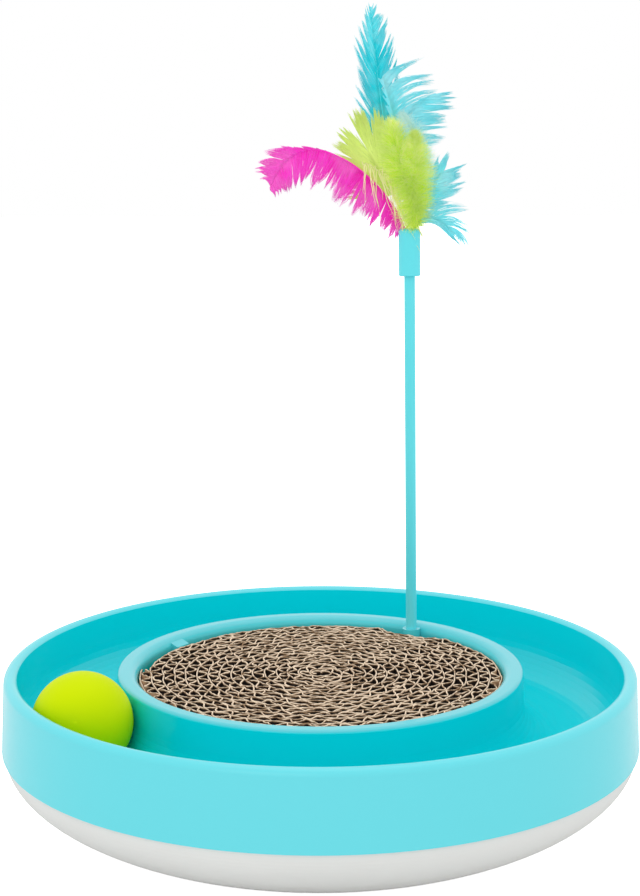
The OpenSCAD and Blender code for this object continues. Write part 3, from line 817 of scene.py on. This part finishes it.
def makeFeatherTree(values):
    tree, given, target = newTree("featherMaker", "GeometryNodeTree", {
        "Geometry": ("Geometry", None),
        "Foot": ("Vector", None), "Low Handle": ("Vector", None),
        "High Handle": ("Vector", None), "Tip": ("Vector", None), "Facing": ("Vector", None),
        "Barbs": ("Int", 200), "Segments": ("Int", 5), "Vane Start": ("Float", 0.3),
        **{side + part: ("Float", 0.1) for side in ("Left ", "Right ") for part in sideParts},
        "Pull": ("Float", 0.8), "Pull Power": ("Float", 1.8), "Ragged": ("Float", 0.3),
        "Cup": ("Float", 0.0), "Fade": ("Float", 0.0), "Stray": ("Float", 0.05),
        "Spread": ("Float", 0.0), "Wave": ("Float", 0.0), "Droop": ("Float", 0.0),
        "Barb Width": ("Float", 0.0003), "Barb Thickness": ("Float", 0.00005),
        "Quill Radius": ("Float", 0.0004), "Seed": ("Int", 0), "Finish": ("Material", None),
    }, {"Geometry": "Geometry"})

    # A number drawn for each barb or clump, and the salt keeps one draw from another
    def chance(low, high, which, salt):
        node = place(tree, "FunctionNodeRandomValue", {
            "Min": low, "Max": high, "ID": which, "Seed": given["Seed"] + salt})
        return Field(tree, live(node.outputs, "Value"))

    quill = place(tree, "GeometryNodeCurvePrimitiveBezierSegment", {
        "Resolution": values["quillSteps"], "Start": given["Foot"],
        "Start Handle": given["Low Handle"], "End Handle": given["High Handle"],
        "End": given["Tip"]})
    # One slim three-sided prism for each barb, all at the origin, each with its number
    line = place(tree, "GeometryNodeMeshLine", {
        "Count": given["Barbs"], "Offset": (0.0, 0.0, 0.0)})
    index = Field(tree, place(tree, "GeometryNodeInputIndex").outputs[0])
    prism = place(tree, "GeometryNodeMeshCylinder", {
        "Vertices": 3, "Side Segments": given["Segments"], "Fill Segments": 1,
        "Radius": 1.0, "Depth": 1.0})
    copies = place(tree, "GeometryNodeInstanceOnPoints", {
        "Points": remember(tree, line.outputs[0], "barb", index),
        "Instance": prism.outputs["Mesh"]})
    barbs = place(tree, "GeometryNodeRealizeInstances", {"Geometry": copies.outputs[0]})
    number = Field(tree, live(place(tree, "GeometryNodeInputNamedAttribute", {"Name": "barb"},
                                    data_type="FLOAT").outputs, "Attribute"))
    inPrism = place(tree, "GeometryNodeInputPosition").outputs[0]
    across, thick, up = Arrow(tree, inPrism).parts()
    share = up + 0.5
    # Odd barbs stand on the right of the quill, even ones on the left
    side = number.calc("FLOORED_MODULO", 2.0) * 2 - 1
    pairs = given["Barbs"] / 2
    u = ((number / 2).calc("FLOOR") + 0.5) / pairs
    rightSide = side * 0.5 + 0.5
    reach, lowSweep, highSweep, hook, clumps, peak, fullness = (
        given["Left " + part] + (given["Right " + part] - given["Left " + part]) * rightSide
        for part in sideParts)
    border = noiseAlong(tree, u * clumps * values["clumpDrift"] + side * values["sideGap"]
                        + given["Seed"], detail=0.0)
    warped = u * clumps + (border - 0.5) * values["clumpShift"]
    clump = warped.calc("FLOOR")
    clumpId = clump * 2 + side
    middle = (clump + 0.5 + u * clumps - warped) / clumps
    pull = given["Pull"] * share ** given["Pull Power"]
    uNow = u + (middle.calc("MINIMUM", 1.0).calc("MAXIMUM", 0.0) - u) * pull
    t = given["Vane Start"] + (1 - given["Vane Start"]) * uNow
    onQuill = place(tree, "GeometryNodeSampleCurve", {
        "Curves": quill.outputs[0], "Factor": t}, mode="FACTOR", use_all_curves=True)
    root = Arrow(tree, onQuill.outputs["Position"])
    ahead = Arrow(tree, onQuill.outputs["Tangent"]).unit()
    # Length, then direction: out from the quill and swept towards the tip
    swell = ((u ** peak) * math.pi).calc("SINE").calc("MAXIMUM", 0.0) ** fullness
    length = (reach * swell * (1 - given["Ragged"] * chance(0.0, 1.0, clumpId, 1))
              * chance(values["shortest"], 1.0, number, 2))
    sweep = lowSweep + (highSweep - lowSweep) * uNow
    sweep = sweep + chance(-values["clumpTurn"], values["clumpTurn"], clumpId, 3)
    stray = chance(-1.0, 1.0, number, 4) * given["Stray"] * (1 - pull * values["held"])
    sweep = sweep + stray - hook * share
    sideways = ahead.cross(given["Facing"]).unit() * side
    roll = given["Spread"] * chance(-1.0, 1.0, number, 5)
    face = sideways.cross(ahead).unit() * side
    outward = sideways * roll.calc("COSINE") + face * roll.calc("SINE")
    heading = ahead * sweep.calc("COSINE") + outward * sweep.calc("SINE")
    broad = heading.cross(face).unit()
    # Curls and a little sag
    swirl = place(tree, "ShaderNodeTexNoise", {
        "Vector": arrowOf(tree, share * values["curlAlong"], number * values["curlStep"],
                          given["Seed"]), "Scale": 1.0, "Detail": 1.0})
    curl = (Arrow(tree, swirl.outputs["Color"]) - (0.5, 0.5, 0.5)) * (given["Wave"] * share * 2)
    sag = arrowOf(tree, 0.0, 0.0, given["Droop"] * length * share * share * -1)
    taper = (values["tipShare"] - share) ** values["taper"]
    lift = face * (chance(-1.0, 1.0, number, 6) * given["Barb Thickness"] * values["layers"])
    bowed = face * (given["Cup"] * length * share * share * side)
    spot = root + heading * (length * share) + curl + sag + lift + bowed
    spot = spot + broad * (across * given["Barb Width"] * taper)
    spot = spot + face * (thick * given["Barb Thickness"] * taper)
    marked = remember(tree, barbs.outputs[0], "barbShare",
                      share * (1 - given["Fade"]) + u * given["Fade"])
    toned = remember(tree, marked, "barbTone", chance(0.0, 1.0, number, 7) * values["barbTone"]
                     + chance(0.0, 1.0, clumpId, 8) * (1 - values["barbTone"]))
    shaped = place(tree, "GeometryNodeSetPosition", {"Geometry": toned, "Position": spot})
    # The quill itself, thinner towards its tip
    along = Field(tree, place(tree, "GeometryNodeSplineParameter").outputs["Factor"])
    ring = place(tree, "GeometryNodeCurvePrimitiveCircle", {
        "Resolution": values["quillSides"], "Radius": given["Quill Radius"]})
    shaft = place(tree, "GeometryNodeCurveToMesh", {
        "Curve": quill.outputs[0], "Profile Curve": ring.outputs[0],
        "Scale": 1.0 - along * values["quillTaper"], "Fill Caps": True})
    joined = place(tree, "GeometryNodeJoinGeometry")
    tree.links.new(remember(tree, shaft.outputs[0], "onQuill", 1.0), joined.inputs[0])
    tree.links.new(shaped.outputs[0], joined.inputs[0])
    whole = place(tree, "GeometryNodeRealizeInstances", {"Geometry": joined.outputs[0]})
    smooth = place(tree, "GeometryNodeSetShadeSmooth", {
        "Geometry": whole.outputs[0], "Shade Smooth": True})
    finished = place(tree, "GeometryNodeSetMaterial", {
        "Geometry": smooth.outputs[0], "Material": given["Finish"]})
    return answer(tree, target, {"Geometry": finished.outputs[0]})


wandAxis = Vector(joints["wand_lift"]["axis"]).normalized()
ferruleLow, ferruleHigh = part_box("wand_ferrule")
ferruleMiddle = (ferruleLow + ferruleHigh) / 2
ferruleTop = ferruleMiddle + wandAxis * (ferruleHigh.z - ferruleMiddle.z)
wandTurn = Vector((0, 0, 1)).rotation_difference(wandAxis).to_matrix().to_4x4()


def growFeather(name, tree, row):
    row = {**plainFeather, **row}
    seat = Vector((*row["seat"], 0)) * plugRadius * mm
    stand = (Matrix.Translation(ferruleTop) @ wandTurn @ Matrix.Translation(seat)
             @ Matrix.Rotation(math.radians(row["turn"]), 4, "Z")
             @ Matrix.Rotation(math.radians(row["lean"]), 4, "X"))
    foot, low, high, tip = (stand @ Vector((x * mm, 0, z * mm)) for x, z in row["line"])
    sides = {}
    for side in ("left", "right"):
        reach, *angles, clumps, peak, fullness = row[side]
        sized = [reach * mm, *(math.radians(angle) for angle in angles), float(clumps), peak,
                 fullness]
        sides.update(zip([side.capitalize() + " " + part for part in sideParts], sized))
    piece = grow(name, tree, {
        "Foot": foot, "Low Handle": low, "High Handle": high, "Tip": tip,
        "Facing": stand.to_3x3() @ Vector((0, -1, 0)), **sides,
        "Barbs": row["barbs"], "Segments": row["segments"], "Vane Start": row["start"],
        "Pull": row["pull"], "Pull Power": row["pullPower"], "Ragged": row["ragged"],
        "Cup": row["cup"], "Fade": row["fade"], "Stray": row["stray"],
        "Spread": math.radians(row["spread"]), "Wave": row["wave"] * mm, "Droop": row["droop"],
        "Barb Width": row["wide"] * mm, "Barb Thickness": row["thick"] * mm,
        "Quill Radius": row["quill"] * mm, "Seed": row["seed"], "Finish": dyes[row["dye"]]})
    if "node" in row:
        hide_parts(row["node"])
    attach(piece, "wand")
    return piece


featherTree = makeFeatherTree(vaneShape)
for name, row in featherRows.items():
    feather = growFeather(name, featherTree, row)
    print(name, "has", len(feather.data.polygons), "faces")


# Floor, lights and world

studio = {
    "floorAcross": 12.0,    # m
    "floorTone": 0.9,       # from 0, black, to 1, white
    "floorRoughness": 0.9,
    "floorGlow": 0.9,       # only the camera sees it, so that the floor is as white as the world
    "worldTone": 1.0,
    "overhead": {"at": (0.1, 0.15, 1.5), "size": 1.2, "power": 3},    # m, m and W
    "front": {"at": (-0.6, -1.7, 1.1), "size": 1.2, "power": 3},
}


def makeFloor(values):
    half = values["floorAcross"] / 2
    mesh = bpy.data.meshes.new("floor")
    corners = [(-half, -half, 0), (half, -half, 0), (half, half, 0), (-half, half, 0)]
    mesh.from_pydata(corners, [], [(0, 1, 2, 3)])
    floor = bpy.data.objects.new("floor", mesh)
    bpy.context.scene.collection.objects.link(floor)
    tone = values["floorTone"]
    material, tree, principled = newMaterial("palePaper", {
        "Base Color": shade(tone, tone, tone), "Roughness": values["floorRoughness"],
        "Emission Color": shade(1, 1, 1)})
    seen = Field(tree, place(tree, "ShaderNodeLightPath").outputs["Is Camera Ray"])
    feed(tree, principled.inputs["Emission Strength"], seen * values["floorGlow"])
    mesh.materials.append(material)


def makeLight(name, values):
    light = bpy.data.lights.new(name, "AREA")
    light.size = values["size"]
    light.energy = values["power"]
    lamp = bpy.data.objects.new(name, light)
    lamp.location = values["at"]
    middle = (cadLow + cadHigh) / 2
    lamp.rotation_euler = (middle - lamp.location).to_track_quat("-Z", "Y").to_euler()
    bpy.context.scene.collection.objects.link(lamp)


def makeWorld(values):
    world = bpy.data.worlds.new("studio")
    world.use_nodes = True
    tone = values["worldTone"]
    world.node_tree.nodes["Background"].inputs["Color"].default_value = shade(tone, tone, tone)
    bpy.context.scene.world = world
    bpy.context.scene.view_settings.view_transform = "Standard"


makeFloor(studio)
makeLight("overhead", studio["overhead"])
makeLight("front", studio["front"])
makeWorld(studio)
print("stage is lit")
